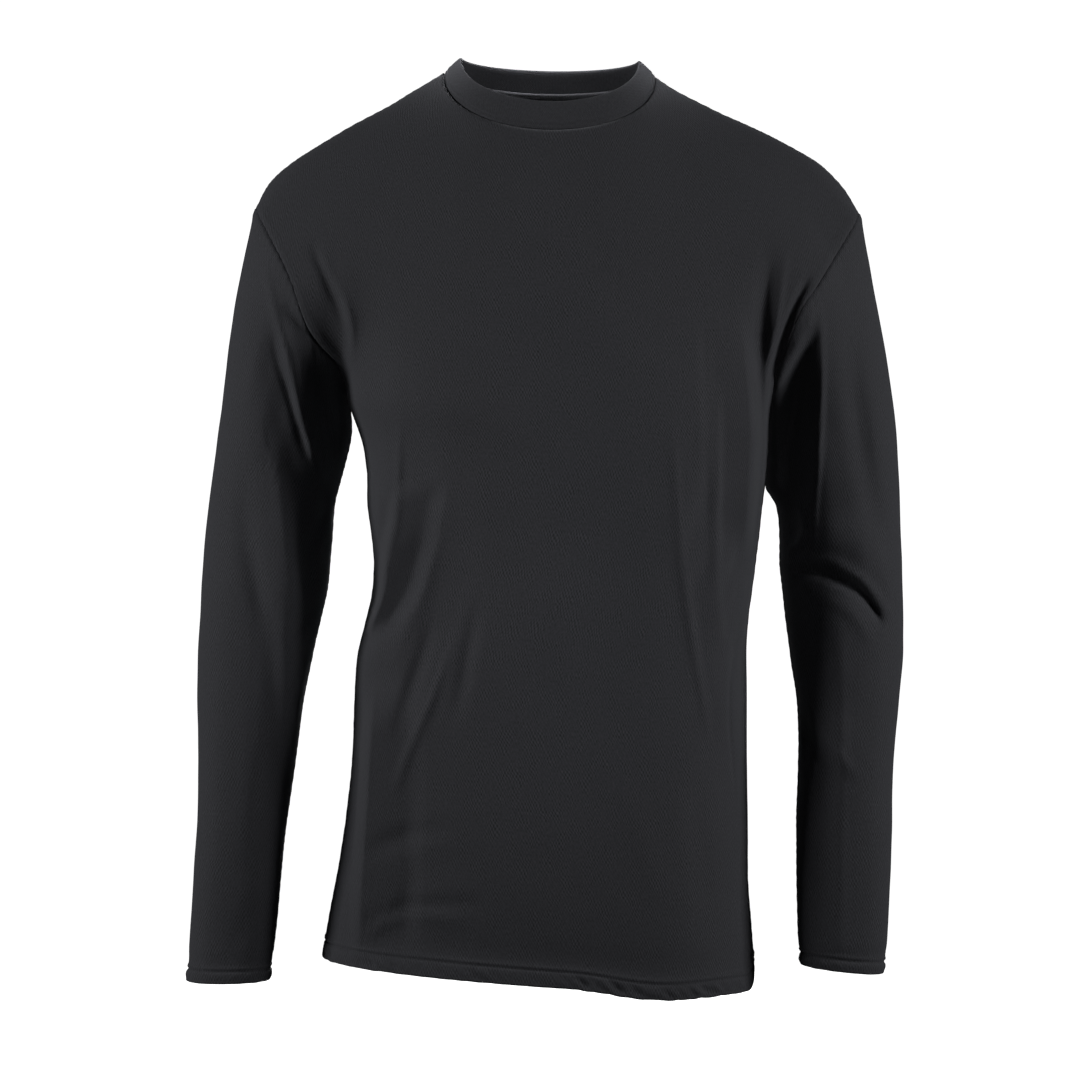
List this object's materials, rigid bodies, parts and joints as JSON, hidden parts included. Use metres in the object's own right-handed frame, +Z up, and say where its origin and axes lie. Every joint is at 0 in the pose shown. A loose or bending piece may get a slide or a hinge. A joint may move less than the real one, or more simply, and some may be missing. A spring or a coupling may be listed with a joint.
{
  "type": "base layer top",
  "caption": "Long-sleeved crew-neck base layer top in a dark knit, hollow and filled out as worn, open at the neck, cuffs and hem.",
  "frame": {"origin": "middle of the neck base, level with the top of the left shoulder seam; the right one stands 3 mm higher", "axes": "+Z up, front of the top towards -Y, wearer's left towards +X"},
  "size_m": [0.5761, 0.248, 0.7533],
  "materials": {
    "knit": "matte fine-gauge knit with a small diagonal texture and faint cross streaks",
    "collar_rib": "matte doubled knit band"
  },
  "bodies": {
    "root": {"front": "knit", "back": "knit", "sleeve_right": "knit", "sleeve_left": "knit", "collar": "collar_rib"}
  },
  "joints": []
}
